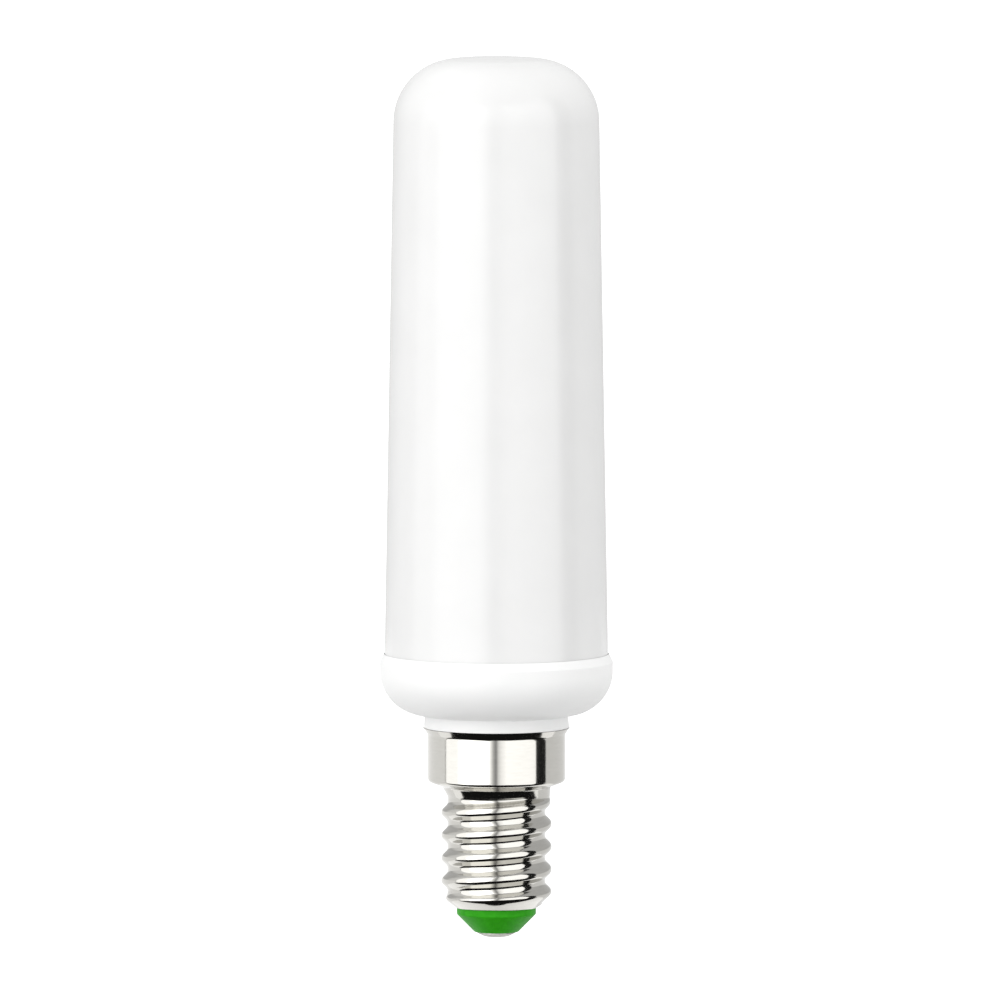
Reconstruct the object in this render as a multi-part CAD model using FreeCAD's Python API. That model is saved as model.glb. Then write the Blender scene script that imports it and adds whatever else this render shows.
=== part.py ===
"""LED stick bulb with a small screw cap.

Millimetres. The origin is the tip of the centre contact, and +Z runs up the axis to the top of the
cover. Every piece is turned about Z, apart from the right-hand thread rolled into the screw shell.
Outlines are written as (radius, height, rounding) corners.
"""

import FreeCAD
import Part

import math
import os

from FreeCAD import Vector

# Play between pieces pushed together, and the open line round the cover at the rim
fit_gap = 0.05
seam_gap = 0.10

# Centre contact: a pin with a low domed head
contact_tip_radius = 1.45
contact_tip_round = 1.2
contact_head_radius = 2.35
contact_dome_height = 0.45
contact_rim_height = 0.12
contact_shank_radius = 1.0
contact_shank_length = 6.6

# Insulator: nose cone and land in sight, the rest inside the screw shell
nose_radius = 2.7
nose_round = 0.4
nose_height = 2.42
land_height = 0.45
insulator_depth = 3.2
insulator_edge = 0.3

# Screw shell: one sheet, drawn, turned in at its mouth and flared at its rim
sheet = 0.3
mouth_radius = 4.95
mouth_lip = 0.25
mouth_angle = 45.0
mouth_round = 0.5
root_radius = 6.05
thread_length = 13.7
neck_radius = 6.72
neck_rise = 0.95
neck_band = 0.45
neck_round = 0.4
shoulder_rise = 0.42
shoulder_round = 0.55
skirt_radius = 8.5
skirt_length = 6.14
flare_width = 0.55
flare_height = 0.85
flare_round = 0.8

# Rolled thread, with the lowest crest on the +X side measured from the mouth
pitch = 2.822
crest_radius = 6.85
first_crest = 2.09

# Housing: one moulding, from the plug inside the shell to the rim round the cover
plug_clearance = 1.6
plug_edge = 0.5
housing_neck_radius = 8.83
housing_neck_foot = 9.0
housing_neck_length = 1.2
housing_neck_round = 0.2
housing_radius = 14.4
housing_height = 7.9
underside_round = 5.45
rim_chamfer = 1.0
rim_round = 0.3

# Cover: drafted tube with a low domed end, on a spigot that plugs into the housing
cover_radius = 13.8
cover_length = 73.8
cover_draft = 0.94
cover_corner = 7.8
dome_radius = 78.0
ledge_depth = 0.6
spigot_step = 0.8
spigot_depth = 4.0
spigot_edge = 0.4

# Heights along the axis, each from the one below it
nose_z = contact_dome_height + contact_rim_height
land_z = nose_z + nose_height
mouth_z = land_z + land_height
thread_top_z = mouth_z + thread_length
neck_z = thread_top_z + neck_rise
shoulder_z = neck_z + neck_band
skirt_z = shoulder_z + shoulder_rise
flare_z = skirt_z + skirt_length
rim_z = flare_z + flare_height
neck_foot_z = rim_z + fit_gap
underside_z = neck_foot_z + housing_neck_length
seam_z = underside_z + housing_height
ledge_z = seam_z - ledge_depth
socket_floor_z = ledge_z - spigot_depth - fit_gap
top_z = seam_z + cover_length
insulator_top_z = mouth_z + insulator_depth
plug_z = insulator_top_z + plug_clearance


def rounded_line(corners):
    """Edges of an open line through the corners, each rounded by a tangent arc."""
    points = [Vector(radius, 0, height) for radius, height, rounding in corners]
    edges = []
    start = points[0]
    for before, corner, after, (_, _, rounding) in zip(points, points[1:], points[2:], corners[1:]):
        back = (before - corner).normalize()
        ahead = (after - corner).normalize()
        half = back.getAngle(ahead) / 2
        if rounding == 0:
            edges.append(Part.makeLine(start, corner))
            start = corner
            continue
        reach = rounding / math.tan(half)
        first = corner + back * reach
        last = corner + ahead * reach
        middle = corner + (back + ahead).normalize() * (rounding / math.sin(half) - rounding)
        edges.append(Part.makeLine(start, first))
        edges.append(Part.Arc(first, middle, last).toShape())
        start = last
    edges.append(Part.makeLine(start, points[-1]))
    return edges


def turned(edges):
    """Solid turned about Z from a line of edges that starts and ends on the axis."""
    low = edges[0].Vertexes[0].Point
    high = edges[-1].Vertexes[-1].Point
    outline = Part.Wire(edges + [Part.makeLine(high, low)])
    return Part.Face(outline).revolve(Vector(0, 0, 0), Vector(0, 0, 1), 360)


def parallel(corners, distance):
    """The line at a distance inside the given one, which runs outwards and up."""
    leans = []
    for (radius, height, _), (next_radius, next_height, _) in zip(corners, corners[1:]):
        leans.append(math.atan2(next_height - height, next_radius - radius))
    moved = []
    for corner, lean_in, lean_out in zip(corners, leans[:1] + leans, leans + leans[-1:]):
        radius, height, rounding = corner
        turn = lean_out - lean_in
        side = (lean_in + lean_out) / 2 + math.pi / 2
        reach = distance / math.cos(turn / 2)
        inner_round = 0
        if rounding > 0:
            inner_round = max(rounding - math.copysign(distance, turn), 0)
        moved.append((radius + reach * math.cos(side), height + reach * math.sin(side), inner_round))
    return moved


def radius_at(height, low, high):
    """Radius where the straight line between two corners passes a height."""
    share = (height - low[1]) / (high[1] - low[1])
    return low[0] + share * (high[0] - low[0])


# Outside of the screw shell from its mouth to its rim, without the thread
mouth_edge = mouth_radius + mouth_lip
mouth_slope = math.tan(math.radians(mouth_angle))
shell_outside = [
    (mouth_radius, mouth_z, 0),
    (mouth_edge, mouth_z, mouth_round),
    (root_radius, mouth_z + (root_radius - mouth_edge) * mouth_slope, mouth_round),
    (root_radius, thread_top_z, neck_round),
    (neck_radius, neck_z, neck_round),
    (neck_radius, shoulder_z, neck_round),
    (skirt_radius, skirt_z, shoulder_round),
    (skirt_radius, flare_z, flare_round),
    (skirt_radius + flare_width, rim_z, 0),
]
seated_inside = parallel(shell_outside, sheet + fit_gap)
CONE_TOP, THREAD_TOP, FLARE, RIM = 2, 3, 7, 8


def thread_turns(inset):
    """Ridge of the rolled thread, turn by turn, at a distance inside the outer face of the sheet.

    The section is a crest arc between two root arcs that touch it. The root arcs dip a little
    below the root cylinder, so that the ridge and the cylinder cross instead of only touching.
    """
    dip = 0.03
    depth = crest_radius - root_radius + dip
    arc = (pitch ** 2 / 4 + depth ** 2) / (4 * depth)
    root_arc = arc + inset
    root_centre = root_radius - dip + arc
    lean = math.atan2(pitch / 2, 2 * arc - depth)
    foot = math.acos(1 - dip / 3 / root_arc)

    def root_point(angle, side):
        height = side * (pitch / 2 - root_arc * math.sin(angle))
        return Vector(root_centre - root_arc * math.cos(angle), 0, height)

    def root_side(first, last, side):
        ends = [root_point(angle, side) for angle in (first, (first + last) / 2, last)]
        return Part.Arc(*ends).toShape()

    crest = Vector(crest_radius - inset, 0, 0)
    low = root_point(foot, -1)
    high = root_point(foot, 1)
    core = root_radius - inset - 4 * dip
    low_core = Vector(core, 0, low.z)
    high_core = Vector(core, 0, high.z)
    section = Part.Wire([
        root_side(foot, lean, -1),
        Part.Arc(root_point(lean, -1), crest, root_point(lean, 1)).toShape(),
        root_side(lean, foot, 1),
        Part.makeLine(high, high_core),
        Part.makeLine(high_core, low_core),
        Part.makeLine(low_core, low),
    ])
    start_z = mouth_z + first_crest - pitch
    helix = Part.makeHelix(pitch, pitch, crest_radius)
    ridge = Part.Wire(helix).makePipeShell([section], True, True)
    turns = []
    for number in range(math.ceil((skirt_z + sheet - start_z) / pitch)):
        turns.append(ridge.translated(Vector(0, 0, start_z + number * pitch)))
    return turns


def below_mouth(inset):
    """Cutter for everything below the turned-in mouth, at a distance inside its outer face."""
    low = mouth_z - 3 * pitch
    wide = 2 * skirt_radius
    mouth_line = [
        (0, mouth_z, 0),
        (mouth_edge, mouth_z, mouth_round),
        (wide, mouth_z + (wide - mouth_edge) * mouth_slope, 0),
    ]
    inner_line = parallel(mouth_line, inset)
    return turned(rounded_line([(0, low, 0), (wide, low, 0)] + inner_line[::-1]))


def shell_form(corners, inset):
    """Filled form of the shell's outer face, or of its inner face at one sheet inside it."""
    low = mouth_z - 2 * pitch
    barrel = turned(rounded_line([(0, low, 0), (root_radius - inset, low, 0)] + corners))
    return barrel.fuse(thread_turns(inset)).cut(below_mouth(inset))


def make_screw_shell():
    """The outer form less the inner one, with the mouth opened below."""
    outer = shell_form(shell_outside[THREAD_TOP:] + [(0, rim_z, 0)], 0)
    inside = parallel(shell_outside, sheet)
    above = rim_z + 1
    open_rim = (radius_at(above, inside[FLARE], inside[RIM]), above, 0)
    inner = shell_form(inside[THREAD_TOP:RIM] + [open_rim, (0, above, 0)], sheet)
    mouth = Part.makeCylinder(mouth_radius, 2 * sheet, Vector(0, 0, mouth_z - sheet / 2))
    return outer.cut(inner).cut(mouth)


def make_centre_contact():
    """Domed head and the shank that runs up through the insulator."""
    head = [
        (0, 0, 0),
        (contact_tip_radius, 0, contact_tip_round),
        (contact_head_radius, contact_dome_height, 0),
        (contact_head_radius, nose_z, 0),
        (contact_shank_radius, nose_z, 0),
        (contact_shank_radius, nose_z + contact_shank_length, 0),
        (0, nose_z + contact_shank_length, 0),
    ]
    return turned(rounded_line(head))


def make_cap_insulator():
    """Nose cone and land below the mouth, and the body that fills the shell's end above it."""
    land_radius = mouth_radius - fit_gap
    body_radius = seated_inside[CONE_TOP][0]
    outline = [
        (0, nose_z, 0),
        (nose_radius, nose_z, nose_round),
        (land_radius, land_z, insulator_edge),
        (land_radius, seated_inside[0][1], 0),
        seated_inside[1],
        seated_inside[CONE_TOP],
        (body_radius, insulator_top_z, insulator_edge),
        (0, insulator_top_z, 0),
    ]
    bore = Part.makeCylinder(contact_shank_radius + fit_gap, insulator_top_z)
    return turned(rounded_line(outline)).cut(bore)


def make_base_housing():
    """Plug and stub inside the shell, neck, rounded collar, and the socket for the cover."""
    plug_radius = seated_inside[THREAD_TOP][0]
    foot_radius = radius_at(neck_foot_z, seated_inside[FLARE], seated_inside[RIM])
    socket_radius = cover_radius - spigot_step + fit_gap
    mouth_of_socket = cover_radius + seam_gap
    outline = [
        (0, plug_z, 0),
        (plug_radius, plug_z, plug_edge),
        *seated_inside[THREAD_TOP:RIM],
        (foot_radius, neck_foot_z, 0),
        (housing_neck_foot, neck_foot_z, 0),
        (housing_neck_radius, underside_z, housing_neck_round / 2),
        (housing_radius, underside_z, underside_round),
        (housing_radius, seam_z - rim_chamfer, rim_round),
        (mouth_of_socket, seam_z, 0),
        (mouth_of_socket, ledge_z, 0),
        (socket_radius, ledge_z, 0),
        (socket_radius, socket_floor_z, 0),
        (0, socket_floor_z, 0),
    ]
    return turned(rounded_line(outline))


def make_diffuser_cover():
    """Spigot, drafted wall, corner arc and shallow dome, each tangent to the next."""
    draft = math.radians(cover_draft)
    up = Vector(-math.sin(draft), 0, math.cos(draft))
    out = Vector(math.cos(draft), 0, math.sin(draft))
    dome_centre = Vector(0, 0, top_z - dome_radius)
    wall_foot = Vector(cover_radius, 0, seam_z)

    start = wall_foot - out * cover_corner
    across = (dome_centre - start).dot(up)
    away = (dome_centre - start).dot(out)
    corner_centre = start + up * (across + math.sqrt((dome_radius - cover_corner) ** 2 - away ** 2))
    outward = (corner_centre - dome_centre).normalize()

    wall_top = corner_centre + out * cover_corner
    dome_edge = corner_centre + outward * cover_corner
    corner_middle = corner_centre + (out + outward).normalize() * cover_corner
    dome_middle = dome_centre + (outward + Vector(0, 0, 1)).normalize() * dome_radius

    spigot_radius = cover_radius - spigot_step
    spigot_z = ledge_z - spigot_depth
    ledge_radius = cover_radius + ledge_depth * math.tan(draft)
    edges = rounded_line([
        (0, spigot_z, 0),
        (spigot_radius, spigot_z, spigot_edge),
        (spigot_radius, ledge_z, 0),
        (ledge_radius, ledge_z, 0),
        (wall_top.x, wall_top.z, 0),
    ])
    edges.append(Part.Arc(wall_top, corner_middle, dome_edge).toShape())
    edges.append(Part.Arc(dome_edge, dome_middle, Vector(0, 0, top_z)).toShape())
    return turned(edges)


pieces = {
    "centre_contact": make_centre_contact(),
    "cap_insulator": make_cap_insulator(),
    "screw_shell": make_screw_shell(),
    "base_housing": make_base_housing(),
    "diffuser_cover": make_diffuser_cover(),
}

os.makedirs("parts", exist_ok=True)
for name, piece in pieces.items():
    piece.exportStep(f"parts/{name}.step")
    print(name, "valid", piece.isValid(), "solids", len(piece.Solids), "volume", round(piece.Volume, 2))
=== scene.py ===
import math

import bpy
from mathutils import Matrix, Vector


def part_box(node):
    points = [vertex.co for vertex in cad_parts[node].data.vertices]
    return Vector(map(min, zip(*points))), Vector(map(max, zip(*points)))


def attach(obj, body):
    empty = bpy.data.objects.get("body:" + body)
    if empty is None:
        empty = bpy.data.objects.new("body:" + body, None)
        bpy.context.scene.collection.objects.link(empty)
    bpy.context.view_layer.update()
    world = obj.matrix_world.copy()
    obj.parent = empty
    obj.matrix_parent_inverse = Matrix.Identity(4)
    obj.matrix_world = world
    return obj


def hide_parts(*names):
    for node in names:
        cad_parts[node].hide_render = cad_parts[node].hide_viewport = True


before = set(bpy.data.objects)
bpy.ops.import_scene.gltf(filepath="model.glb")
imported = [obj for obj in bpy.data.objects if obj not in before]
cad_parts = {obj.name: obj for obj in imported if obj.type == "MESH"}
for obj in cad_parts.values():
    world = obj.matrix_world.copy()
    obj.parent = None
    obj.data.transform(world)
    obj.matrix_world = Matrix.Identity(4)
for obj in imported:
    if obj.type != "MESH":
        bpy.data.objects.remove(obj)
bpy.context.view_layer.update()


# Centre contact
# The lower pole of the cap: a plated brass pin with a low domed head, pushed up through the
# insulator. The head is turned, and its face is left satin where the lampholder's spring rubs it.
MM = 0.001
contact_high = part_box("centre_contact")[1]
contact_head_radius = contact_high.x / MM
contact_top = contact_high.z / MM
contact_tip_radius = 1.45
contact_tip_round = 1.2
contact_dome_height = 0.45
contact_rim_height = 0.12
contact_shank_radius = 1.0
axis_tolerance = 1e-6
crease_angle = math.radians(28)
noise_low = 0.3
noise_high = 0.7
noise_detail = 3


def rounded(corners, step=5):
    """Points along (radius, height, rounding) corners, with an arc in steps of degrees at each."""
    line = [Vector(corners[0][:2])]
    for before, corner, after in zip(corners, corners[1:], corners[2:]):
        place = Vector(corner[:2])
        back = (Vector(before[:2]) - place).normalized()
        ahead = (Vector(after[:2]) - place).normalized()
        if corner[2] == 0:
            line.append(place)
            continue
        half = back.angle(ahead) / 2
        centre = place + (back + ahead).normalized() * corner[2] / math.sin(half)
        first = place + back * corner[2] / math.tan(half) - centre
        turn = math.copysign(math.pi - 2 * half, ahead.x * back.y - ahead.y * back.x)
        pieces = math.ceil(abs(math.degrees(turn)) / step)
        for number in range(pieces + 1):
            line.append(centre + Matrix.Rotation(turn * number / pieces, 2) @ first)
    line.append(Vector(corners[-1][:2]))
    return line


def skinned(name, rings):
    """Mesh over rings of points that run out and up; a ring of one point closes an end."""
    places = []
    starts = []
    for ring in rings:
        starts.append(len(places))
        places.extend(point * MM for point in ring)
    columns = max(len(ring) for ring in rings)
    faces = []
    for low, high, start, next_start in zip(rings, rings[1:], starts, starts[1:]):
        for column in range(columns):
            beside = (column + 1) % columns
            if len(low) == 1:
                faces.append((start, next_start + beside, next_start + column))
            elif len(high) == 1:
                faces.append((start + column, start + beside, next_start))
            else:
                faces.append((
                    start + column,
                    start + beside,
                    next_start + beside,
                    next_start + column,
                ))
    mesh = bpy.data.meshes.new(name)
    mesh.from_pydata(places, [], faces)
    mesh.shade_smooth()
    mesh.set_sharp_from_angle(angle=crease_angle)
    return mesh


def turned(name, line, columns=160):
    """Mesh of a line of (radius, height) points turned about the bulb's axis."""
    rings = []
    for radius, height in line:
        if radius < axis_tolerance:
            rings.append([Vector((0, 0, height))])
            continue
        ring = []
        for column in range(columns):
            angle = 2 * math.pi * column / columns
            ring.append(Vector((radius * math.cos(angle), radius * math.sin(angle), height)))
        rings.append(ring)
    return skinned(name, rings)


def blank_finish(name, roughness):
    """New material with its shader set to one roughness."""
    finish = bpy.data.materials.new(name)
    finish.use_nodes = True
    shader = finish.node_tree.nodes["Principled BSDF"]
    shader.inputs["Roughness"].default_value = roughness
    return finish, shader


def grain(finish, size, low, high, stretch=(1, 1, 1)):
    """Output running from low to high in grains of a size in mm, narrower where stretched."""
    nodes = finish.node_tree.nodes
    links = finish.node_tree.links
    place = nodes.new("ShaderNodeTexCoord")
    mapping = nodes.new("ShaderNodeMapping")
    mapping.inputs["Scale"].default_value = [share / (size * MM) for share in stretch]
    noise = nodes.new("ShaderNodeTexNoise")
    noise.inputs["Scale"].default_value = 1
    noise.inputs["Detail"].default_value = noise_detail
    spread = nodes.new("ShaderNodeMapRange")
    spread.inputs["From Min"].default_value = noise_low
    spread.inputs["From Max"].default_value = noise_high
    spread.inputs["To Min"].default_value = low
    spread.inputs["To Max"].default_value = high
    links.new(place.outputs["Object"], mapping.inputs["Vector"])
    links.new(mapping.outputs["Vector"], noise.inputs["Vector"])
    links.new(noise.outputs["Fac"], spread.inputs["Value"])
    return spread.outputs["Result"]


def mottle(finish, shader, size, dark, pale, stretch=(1, 1, 1)):
    """Base colour that wanders between two close tones."""
    links = finish.node_tree.links
    tone = finish.node_tree.nodes.new("ShaderNodeMix")
    tone.data_type = "RGBA"
    tone.inputs["A"].default_value = (*dark, 1)
    tone.inputs["B"].default_value = (*pale, 1)
    links.new(grain(finish, size, 0, 1, stretch), tone.inputs["Factor"])
    links.new(tone.outputs["Result"], shader.inputs["Base Color"])


def uneven(finish, shader, size, depth, stretch=(1, 1, 1)):
    """Surface that rises and falls by a depth in mm."""
    links = finish.node_tree.links
    bump = finish.node_tree.nodes.new("ShaderNodeBump")
    bump.inputs["Strength"].default_value = 1
    bump.inputs["Distance"].default_value = depth * MM
    links.new(grain(finish, size, 0, 1, stretch), bump.inputs["Height"])
    links.new(bump.outputs["Normal"], shader.inputs["Normal"])


def fitted(mesh, finish, node):
    """Puts a piece in the place of its CAD node."""
    piece = bpy.data.objects.new(mesh.name, mesh)
    bpy.context.scene.collection.objects.link(piece)
    mesh.materials.append(finish)
    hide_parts(node)
    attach(piece, "root")


contact_metal, contact_shader = blank_finish("contact_metal", roughness=0.4)
contact_shader.inputs["Metallic"].default_value = 1
contact_dark = (0.30, 0.295, 0.275)
contact_pale = (0.39, 0.385, 0.36)
mottle(contact_metal, contact_shader, size=0.5, dark=contact_dark, pale=contact_pale)
uneven(contact_metal, contact_shader, size=0.12, depth=0.002)

nose_z = contact_dome_height + contact_rim_height
contact_line = rounded([
    (0, 0, 0),
    (contact_tip_radius, 0, contact_tip_round),
    (contact_head_radius, contact_dome_height, 0),
    (contact_head_radius, nose_z, 0),
    (contact_shank_radius, nose_z, 0),
    (contact_shank_radius, contact_top, 0),
    (0, contact_top, 0),
])
contact_mesh = turned("contact_pin", contact_line, columns=96)
fitted(contact_mesh, contact_metal, "centre_contact")


# Cap insulator
# A green moulding of heat-proof plastic that keeps the contact apart from the shell. The shell's
# turned-in mouth grips it under the land, and the nose cone stands out below.
insulator_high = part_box("cap_insulator")[1]
nose_radius = 2.7
nose_round = 0.4
nose_height = 2.23
land_height = 0.84
land_radius = 4.9
insulator_body_radius = insulator_high.x / MM
insulator_top = insulator_high.z / MM
insulator_edge = 0.3
insulator_seat_radius = 5.0
insulator_seat_rise = 0.35
insulator_body_rise = 1.45
fit_gap = 0.05

land_z = nose_z + nose_height
mouth_z = land_z + land_height
bore_radius = contact_shank_radius + fit_gap
insulator_line = rounded([
    (bore_radius, nose_z, 0),
    (nose_radius, nose_z, nose_round),
    (land_radius, land_z, insulator_edge),
    (land_radius, mouth_z + insulator_seat_rise, 0),
    (insulator_seat_radius, mouth_z + insulator_seat_rise, 0),
    (insulator_body_radius, mouth_z + insulator_body_rise, 0),
    (insulator_body_radius, insulator_top, insulator_edge),
    (bore_radius, insulator_top, 0),
    (bore_radius, nose_z, 0),
])

green_insulator, green_shader = blank_finish("green_insulator", roughness=0.45)
green_shader.inputs["Specular IOR Level"].default_value = 0.1
green_dark = (0.024, 0.33, 0.004)
green_pale = (0.034, 0.40, 0.007)
mottle(green_insulator, green_shader, size=0.8, dark=green_dark, pale=green_pale)
uneven(green_insulator, green_shader, size=0.25, depth=0.004)
insulator_mesh = turned("insulator_nose", insulator_line)
fitted(insulator_mesh, green_insulator, "cap_insulator")


# Screw shell
# The upper pole of the cap: nickel-plated brass sheet drawn to a cup, with the thread rolled in,
# the end turned in round the insulator and the rim flared out. It is pressed on hot glue.
shell_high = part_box("screw_shell")[1]
sheet = 0.3
mouth_radius = 4.95
mouth_lip = 0.15
mouth_round = 0.4
mouth_slope = 1.3
mouth_blend = 0.9
bare_radius = 6.28
neck_z = 18.53
neck_round = 0.25
neck_height = 1
neck_blend = 0.2
shoulder_z = 18.62
skirt_z = 19.32
skirt_radius = 8.5
shoulder_round = 0.55
flare_z = 25.10
flare_round = 0.8
rim_z = shell_high.z / MM
rim_radius = shell_high.x / MM
run_out_radius = 6.71
run_out_slope = 0.55
run_out_least = 0.08
run_out_spread = math.radians(60)
run_out_foot_z = 15.74
run_out_blend = 0.12

pitch = 2.822
crest_radius = 6.83
root_radius = 6.02
first_crest = 1.89
thread_start_z = 3.0
thread_full_z = 4.6
thread_fades_z = 16.3
thread_end_z = 18.3
thread_step = 0.045
shell_columns = 192
rows_per_inner_row = 4

# The thread's section is a tight crest arc and a wider root arc with straight flanks between them
crest_arc = 0.68
root_arc = 0.78
past_arcs = crest_arc + root_arc - (crest_radius - root_radius)
flank_reach = math.hypot(past_arcs, pitch / 2)
flank_angle = math.atan2(pitch / 2, past_arcs) - math.acos((crest_arc + root_arc) / flank_reach)
crest_side = crest_arc * math.sin(flank_angle)
root_side = root_arc * math.sin(flank_angle)
flank_top = crest_radius - crest_arc * (1 - math.cos(flank_angle))


def eased(value, low, high):
    """0 below low and 1 above high, with a smooth rise between them."""
    share = min(max((value - low) / (high - low), 0), 1)
    return share * share * (3 - 2 * share)


def outer_of(first, second, blend):
    """The larger of two radii, with the crease between them rounded."""
    apart = max(blend - abs(first - second), 0)
    return max(first, second) + apart ** 2 / (4 * blend)


def thread_radius(height, angle):
    """Radius of the rolled thread, whose ridge rises at the mouth and sinks into the neck."""
    turns = (height - mouth_z - first_crest) / pitch - angle / (2 * math.pi)
    from_crest = abs(turns - round(turns)) * pitch
    crest_z = height - (turns - round(turns)) * pitch
    from_root = pitch / 2 - from_crest
    if from_crest < crest_side:
        radius = crest_radius - crest_arc + math.sqrt(crest_arc ** 2 - from_crest ** 2)
    elif from_root < root_side:
        radius = root_radius + root_arc - math.sqrt(root_arc ** 2 - from_root ** 2)
    else:
        radius = flank_top - (from_crest - crest_side) * math.tan(flank_angle)
    risen = eased(crest_z, thread_start_z, thread_full_z)
    sunk = eased(crest_z, thread_fades_z, thread_end_z)
    bare = bare_radius if height < thread_full_z + pitch / 2 else root_radius
    return bare + (radius - bare) * (risen - sunk)


def run_out_radius_at(height, angle):
    """Radius of the neck above the thread, a cone that stands straighter where the groove ends."""
    from_end = abs((angle + math.pi) % (2 * math.pi) - math.pi)
    share = eased(from_end, 0, run_out_spread)
    slope = run_out_least + (run_out_slope - run_out_least) * share
    cone = run_out_radius - slope * (shoulder_z - height)
    return -outer_of(-cone, -root_radius - (height - run_out_foot_z), neck_blend)


mouth_edge = mouth_radius + mouth_lip
shell_line = rounded([
    (mouth_radius, mouth_z, 0),
    (mouth_edge, mouth_z, mouth_round),
    (bare_radius, mouth_z + (bare_radius - mouth_edge) / mouth_slope, mouth_round),
    (bare_radius, neck_z - neck_height, 0),
    (run_out_radius, shoulder_z, neck_round),
    (skirt_radius, skirt_z, shoulder_round),
    (skirt_radius, flare_z, flare_round),
    (rim_radius, rim_z, 0),
])
shell_rows = []
for low, high in zip(shell_line, shell_line[1:]):
    pieces = 1
    if low.y < shoulder_z:
        pieces = math.ceil((high - low).length / thread_step)
    shell_rows.extend(low.lerp(high, number / pieces) for number in range(pieces))
shell_rows.append(shell_line[-1])


def shell_radius(row, angle):
    """Radius of the outer face: thread, neck and barrel, cut off by the cone of the mouth."""
    radius, height = row
    if height <= mouth_z or height >= neck_z:
        return radius
    neck = run_out_radius_at(height, angle)
    radius = outer_of(thread_radius(height, angle), neck, run_out_blend)
    return -outer_of(-radius, -mouth_edge - (height - mouth_z) * mouth_slope, mouth_blend)


outer_rings = []
inner_rings = []
shell_angles = [2 * math.pi * column / shell_columns for column in range(shell_columns)]
radii = [[shell_radius(row, angle) for angle in shell_angles] for row in shell_rows]
last_row = len(shell_rows) - 1
flare_lean = math.atan2(rim_radius - skirt_radius, rim_z - flare_z)
up = Vector((0, 0, 1))
for number, row in enumerate(shell_rows):
    outer_ring = []
    inner_ring = []
    before, after = max(number - 1, 0), min(number + 1, last_row)
    rise = shell_rows[after].y - shell_rows[before].y
    for column, angle in enumerate(shell_angles):
        radius = radii[number][column]
        spread = radii[after][column] - radii[before][column]
        inward = Vector((-rise, spread)).normalized() * sheet
        if number == 0:
            inward = Vector((0, sheet))
        if number == last_row:
            inward = Vector((-sheet / math.cos(flare_lean), 0))
        around = Vector((math.cos(angle), math.sin(angle), 0))
        outer_ring.append(around * radius + up * row.y)
        inner_ring.append(around * (radius + inward.x) + up * (row.y + inward.y))
    outer_rings.append(outer_ring)
    if number % rows_per_inner_row == 0 or number in (last_row, last_row - 1):
        inner_rings.append(inner_ring)

bright_nickel, nickel_shader = blank_finish("bright_nickel", roughness=0.06)
nickel_shader.inputs["Metallic"].default_value = 1
nickel_dark = (0.51, 0.50, 0.47)
nickel_pale = (0.535, 0.525, 0.495)
mottle(bright_nickel, nickel_shader, 1.5, nickel_dark, nickel_pale, stretch=(1, 1, 6))
nickel_links = bright_nickel.node_tree.links
drawn_lines = grain(bright_nickel, size=3, low=0.08, high=0.12, stretch=(1, 1, 40))
nickel_links.new(drawn_lines, nickel_shader.inputs["Roughness"])
uneven(bright_nickel, nickel_shader, size=1.6, depth=0.0002, stretch=(1, 1, 2))

shell_rings = outer_rings + inner_rings[::-1] + outer_rings[:1]
fitted(skinned("screw_cap_shell", shell_rings), bright_nickel, "screw_shell")


# Base housing
# A white moulding of filled polycarbonate that holds the driver: a plug glued inside the shell,
# the short neck, the rounded collar, and the socket that the cover is welded into.
housing_low, housing_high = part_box("base_housing")
plug_z = housing_low.z / MM
plug_edge = 0.5
plug_radius = root_radius - sheet - fit_gap
seat_gap = sheet + fit_gap
flare_lead = 0.1
neck_foot_z = rim_z + fit_gap
neck_foot_radius = 9.0
housing_neck_radius = 8.83
housing_neck_height = 1.55
underside_z = neck_foot_z + housing_neck_height
underside_edge = 0.1
underside_round = 5.45
housing_radius = housing_high.x / MM
seam_z = housing_high.z / MM
rim_chamfer = 1.0
rim_round = 0.3
cover_foot_radius = 13.8
cover_gap = 0.1
ledge_depth = 0.6
ledge_z = seam_z - ledge_depth
spigot_step = 0.8
socket_radius = cover_foot_radius - spigot_step + fit_gap
socket_depth = 4.05
socket_floor_z = ledge_z - socket_depth
wide_columns = 224

housing_line = rounded([
    (0, plug_z, 0),
    (plug_radius, plug_z, plug_edge),
    (plug_radius, shoulder_z + seat_gap, 0),
    (skirt_radius - seat_gap, skirt_z + seat_gap, 0),
    (skirt_radius - seat_gap, flare_z + flare_lead, 0),
    (rim_radius - seat_gap - fit_gap, neck_foot_z, 0),
    (neck_foot_radius, neck_foot_z, 0),
    (housing_neck_radius, underside_z, underside_edge),
    (housing_radius, underside_z, underside_round),
    (housing_radius, seam_z - rim_chamfer, rim_round),
    (cover_foot_radius + cover_gap, seam_z, 0),
    (cover_foot_radius + cover_gap, ledge_z, 0),
    (socket_radius, ledge_z, 0),
    (socket_radius, socket_floor_z, 0),
    (0, socket_floor_z, 0),
], step=3)

white_moulding, moulding_shader = blank_finish("white_moulding", roughness=0.45)
moulding_shader.inputs["Specular IOR Level"].default_value = 0.4
white_dark = (0.93, 0.935, 0.93)
white_pale = (0.945, 0.945, 0.94)
mottle(white_moulding, moulding_shader, size=2.5, dark=white_dark, pale=white_pale)
uneven(white_moulding, moulding_shader, size=0.2, depth=0.003)
housing_mesh = turned("collar_moulding", housing_line, wide_columns)
fitted(housing_mesh, white_moulding, "base_housing")


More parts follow.
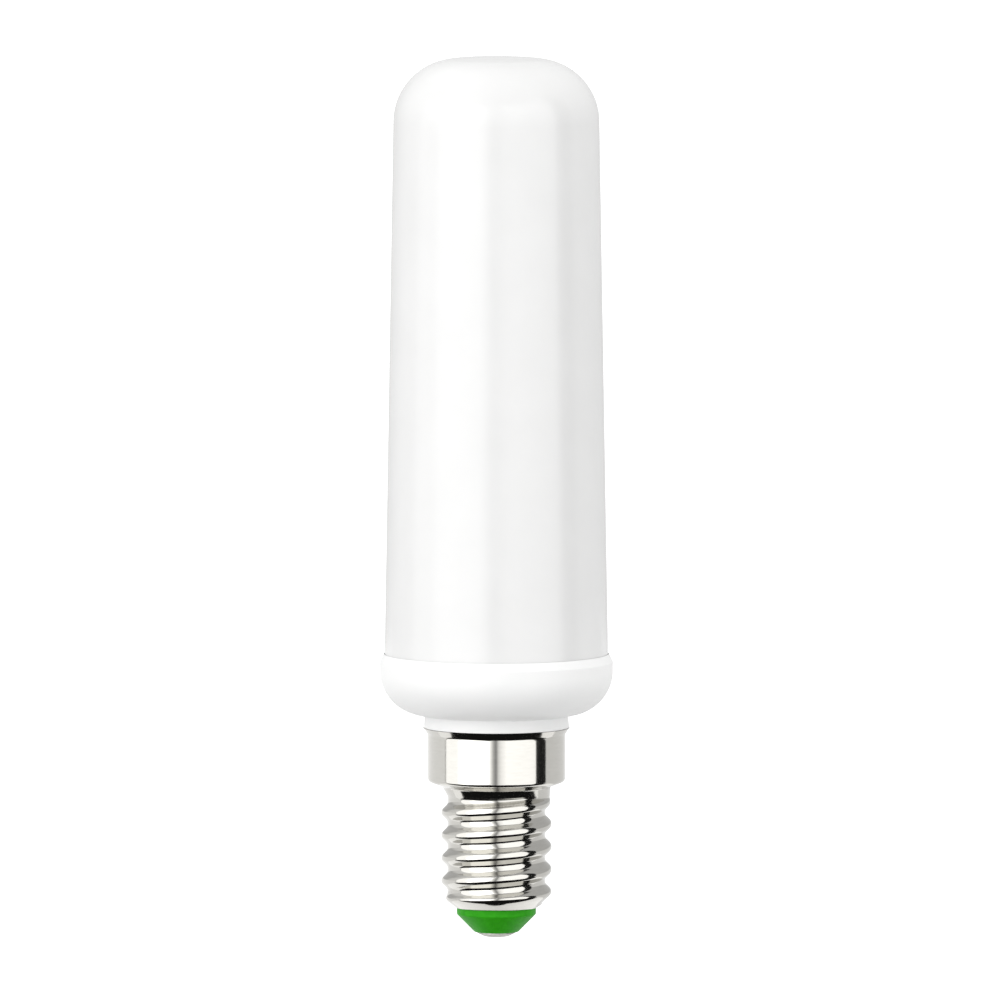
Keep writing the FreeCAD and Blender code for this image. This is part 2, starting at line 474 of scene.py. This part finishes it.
# Diffuser cover
# The long milky tube in front of the light boards, blown or moulded in opal polycarbonate with a
# little draft. Its spigot is pushed into the housing and welded, and its end is a shallow dome.
cover_low, cover_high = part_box("diffuser_cover")
spigot_z = cover_low.z / MM
top_z = cover_high.z / MM
spigot_radius = cover_foot_radius - spigot_step
spigot_edge = 0.4
cover_draft = math.radians(0.94)
cover_corner = 7.8
dome_radius = 78.0
wall_pieces = 12
corner_pieces = 36
dome_pieces = 8

out = Vector((math.cos(cover_draft), math.sin(cover_draft)))
up_wall = Vector((-math.sin(cover_draft), math.cos(cover_draft)))
dome_centre = Vector((0, top_z - dome_radius))
corner_foot = Vector((cover_foot_radius, seam_z)) - out * cover_corner
along = (dome_centre - corner_foot).dot(up_wall)
across = (dome_centre - corner_foot).dot(out)
corner_rise = along + math.sqrt((dome_radius - cover_corner) ** 2 - across ** 2)
corner_centre = corner_foot + up_wall * corner_rise
dome_start = (corner_centre - dome_centre).normalized()
dome_angle = math.atan2(dome_start.y, dome_start.x)

cover_line = rounded([
    (0, spigot_z, 0),
    (spigot_radius, spigot_z, spigot_edge),
    (spigot_radius, ledge_z, 0),
    (cover_foot_radius + ledge_depth * math.tan(cover_draft), ledge_z, 0),
    (cover_foot_radius, seam_z, 0),
])
for number in range(1, wall_pieces):
    rise = up_wall * corner_rise * number / wall_pieces
    cover_line.append(Vector((cover_foot_radius, seam_z)) + rise)
for number in range(corner_pieces + 1):
    angle = cover_draft + (dome_angle - cover_draft) * number / corner_pieces
    cover_line.append(corner_centre + Vector((math.cos(angle), math.sin(angle))) * cover_corner)
for number in range(1, dome_pieces + 1):
    angle = dome_angle + (math.pi / 2 - dome_angle) * number / dome_pieces
    cover_line.append(dome_centre + Vector((math.cos(angle), math.sin(angle))) * dome_radius)

milky_cover, cover_shader = blank_finish("milky_cover", roughness=0.16)
cover_shader.inputs["Specular IOR Level"].default_value = 0.62
milky_dark = (0.82, 0.82, 0.816)
milky_pale = (0.84, 0.84, 0.836)
mottle(milky_cover, cover_shader, size=6, dark=milky_dark, pale=milky_pale)
cover_links = milky_cover.node_tree.links
cover_sheen = grain(milky_cover, size=4, low=0.2, high=0.26)
cover_links.new(cover_sheen, cover_shader.inputs["Roughness"])
uneven(milky_cover, cover_shader, size=1.5, depth=0.0015)
cover_mesh = turned("milky_tube", cover_line, wide_columns)
fitted(cover_mesh, milky_cover, "diffuser_cover")


# Floor and surroundings
# A plain pale floor well below the bulb, and a white room. The camera and the metal both see
# them as white.
def seen_white(nodes, links):
    """Output that is 1 for rays from the camera, mirrors and clear things, and 0 for others."""
    path = nodes.new("ShaderNodeLightPath")
    first = nodes.new("ShaderNodeMath")
    first.operation = "MAXIMUM"
    second = nodes.new("ShaderNodeMath")
    second.operation = "MAXIMUM"
    links.new(path.outputs["Is Camera Ray"], first.inputs[0])
    links.new(path.outputs["Is Glossy Ray"], first.inputs[1])
    links.new(first.outputs[0], second.inputs[0])
    links.new(path.outputs["Is Transmission Ray"], second.inputs[1])
    return second.outputs[0]


room_light = 0.97
room = bpy.data.worlds.new("white_room")
bpy.context.scene.world = room
room.use_nodes = True
room_nodes = room.node_tree.nodes
room_links = room.node_tree.links
room_strength = room_nodes.new("ShaderNodeMapRange")
room_strength.inputs["To Min"].default_value = room_light
room_strength.inputs["To Max"].default_value = 1
room_links.new(seen_white(room_nodes, room_links), room_strength.inputs["Value"])
room_nodes["Background"].inputs["Color"].default_value = (1, 1, 1, 1)
room_links.new(room_strength.outputs["Result"], room_nodes["Background"].inputs["Strength"])

floor_z = -0.16
floor_half = 6
floor_shine = 0.6
floor_mesh = bpy.data.meshes.new("pale_floor")
floor_corners = [(-1, -1, 0), (1, -1, 0), (1, 1, 0), (-1, 1, 0)]
floor_places = [Vector(corner) * floor_half for corner in floor_corners]
floor_mesh.from_pydata(floor_places, [], [(0, 1, 2, 3)])
floor = bpy.data.objects.new("pale_floor", floor_mesh)
floor.location.z = floor_z
bpy.context.scene.collection.objects.link(floor)

floor_finish, floor_shader = blank_finish("pale_floor", roughness=0.9)
floor_shader.inputs["Base Color"].default_value = (0.8, 0.8, 0.8, 1)
floor_shader.inputs["Specular IOR Level"].default_value = 0
floor_shader.inputs["Emission Color"].default_value = (1, 1, 1, 1)
floor_nodes = floor_finish.node_tree.nodes
floor_links = floor_finish.node_tree.links
floor_glow = floor_nodes.new("ShaderNodeMapRange")
floor_glow.inputs["To Min"].default_value = 0
floor_glow.inputs["To Max"].default_value = floor_shine
floor_links.new(seen_white(floor_nodes, floor_links), floor_glow.inputs["Value"])
floor_links.new(floor_glow.outputs["Result"], floor_shader.inputs["Emission Strength"])
floor_mesh.materials.append(floor_finish)


# Cards and lamps
# White and black cards stand round the bulb for the metal and the gloss to mirror, and two soft
# lamps shade it. Angles are degrees to the right of the camera, seen from above.
card_finish = bpy.data.materials.new("card")
card_finish.use_nodes = True
card_nodes = card_finish.node_tree.nodes
card_nodes.clear()
card_glow = card_nodes.new("ShaderNodeAttribute")
card_glow.attribute_name = "glow"
card_shine = card_nodes.new("ShaderNodeEmission")
card_output = card_nodes.new("ShaderNodeOutputMaterial")
card_finish.node_tree.links.new(card_glow.outputs["Fac"], card_shine.inputs["Strength"])
card_finish.node_tree.links.new(card_shine.outputs["Emission"], card_output.inputs["Surface"])

card_distance = 0.15
card_low = -0.08
card_high = 0.225
ceiling_half = 0.2
ground_front_angle = 102
black_glow = 0.01


def hung(name, places, faces, glows):
    """A card that only reflections show."""
    mesh = bpy.data.meshes.new(name)
    mesh.from_pydata(places, [], faces)
    mesh.attributes.new("glow", "FLOAT", "POINT").data.foreach_set("value", glows)
    mesh.materials.append(card_finish)
    hung_card = bpy.data.objects.new(name, mesh)
    bpy.context.scene.collection.objects.link(hung_card)
    hung_card.visible_camera = False
    hung_card.visible_diffuse = False
    hung_card.visible_shadow = False
    return hung_card


def strip(count):
    """Faces of a strip of panels between points given in pairs."""
    return [(2 * n, 2 * n + 2, 2 * n + 3, 2 * n + 1) for n in range(count)]


def card(name, middle, stops, low=card_low, high=card_high):
    """Flat upright card square to one angle, with a glow at each of the angles along it."""
    places = []
    glows = []
    for angle, glow in stops:
        way = Vector((math.sin(math.radians(angle)), -math.cos(math.radians(angle)), 0))
        place = way * card_distance / math.cos(math.radians(angle - middle))
        places.extend([place + Vector((0, 0, low)), place + Vector((0, 0, high))])
        glows.extend([glow, glow])
    hung(name, places, strip(len(stops) - 1), glows)


card("card_left", -52, [(-92.4, 1.9), (-66, 1.9), (-64, 3), (-16, 3), (-10, 1.8)])
card("card_camera", 2, [(-10, 1.8), (-5.5, 0.8), (-0.5, 0.3), (3.5, 1.2), (8, 1.6), (16, 1.95)])
card("card_right", 42, [(16, 2), (68.5, 1.85)])
card("card_flag", 79, [(68.5, 0.02), (89.5, 0.02)])
card("card_right_back", 135, [(89.5, 0.97), (180, 0.97)], high=0.022)
card("card_left_back", 225, [(180, 1.17), (265, 1.17), (266, 0.58), (267.6, 0.58)], high=0.022)
card("card_behind_cover", 180, [(135, 0.65), (225, 0.65)], low=0.022)
card("card_right_of_cover", 112, [(89.5, 0.7), (135, 0.65)], low=0.022)
card("card_left_of_cover", 246, [(225, 0.65), (242, 0.95), (267.6, 1.05)], low=0.022)

ceiling_stops = [(-0.25, 0.9), (-0.06, 0.9), (0, 0.25), (0.06, 0.55), (0.25, 0.8)]
ceiling_places = []
ceiling_glows = []
for across, glow in ceiling_stops:
    for behind in (-ceiling_half, ceiling_half):
        ceiling_places.append(Vector((across, behind, card_high)))
        ceiling_glows.append(glow)
hung("card_ceiling", ceiling_places, strip(len(ceiling_stops) - 1), ceiling_glows)


def ground(name, front, behind):
    """Black card flat below the bulb, with its own reach in front and behind."""
    places = [Vector((0, 0, card_low))]
    for angle in range(-174, 187, 12):
        reach = front if abs(angle) <= ground_front_angle else behind
        way = Vector((math.sin(math.radians(angle)), -math.cos(math.radians(angle)), 0))
        places.append(way * reach + Vector((0, 0, card_low)))
    faces = [(0, n, n + 1) for n in range(1, len(places) - 1)]
    return hung(name, places, faces, [black_glow] * len(places))


ground("card_ground", front=0.22, behind=0.02)
shade = ground("card_shade", front=0.07, behind=0.07)
shade.visible_diffuse = True
shade.visible_glossy = False


def soft_lamp(name, width, power, place):
    """Round lamp facing straight down, which reflections don't show."""
    lamp = bpy.data.lights.new(name, "AREA")
    lamp.shape = "DISK"
    lamp.size = width
    lamp.energy = power
    hung_lamp = bpy.data.objects.new(name, lamp)
    bpy.context.scene.collection.objects.link(hung_lamp)
    hung_lamp.location = place
    hung_lamp.visible_glossy = False
    return hung_lamp


key_angle = math.radians(-45)
key_reach = 0.6
key_height = 0.25
key_place = (key_reach * math.sin(key_angle), -key_reach * math.cos(key_angle), key_height)
bulb_middle = Vector((0, 0, 0.055))
key = soft_lamp("key_lamp", width=0.35, power=0.65, place=key_place)
key.rotation_euler = (bulb_middle - key.location).to_track_quat("-Z", "Y").to_euler()
soft_lamp("top_lamp", width=0.3, power=0.22, place=(0.05, -0.1, 0.4))


# Camera
# A long lens from the front, looking down by a few degrees, as the photograph does.
picture_width = 992
pixels_per_mm = 8.10
picture_middle_across = -0.05
picture_middle_height = 54.62
camera_tilt = math.radians(5)
camera_distance = 4
camera_data = bpy.data.cameras.new("camera")
seen_width = picture_width / pixels_per_mm * MM
camera_data.lens = camera_data.sensor_width * camera_distance / seen_width
camera_data.clip_end = 50
camera = bpy.data.objects.new("camera", camera_data)
bpy.context.scene.collection.objects.link(camera)
aim = Vector((picture_middle_across, 0, picture_middle_height)) * MM
back = Vector((0, -math.cos(camera_tilt), math.sin(camera_tilt)))
camera.location = aim + back * camera_distance
camera.rotation_euler = (-back).to_track_quat("-Z", "Y").to_euler()
bpy.context.scene.camera = camera
bpy.context.scene.view_settings.view_transform = "Standard"
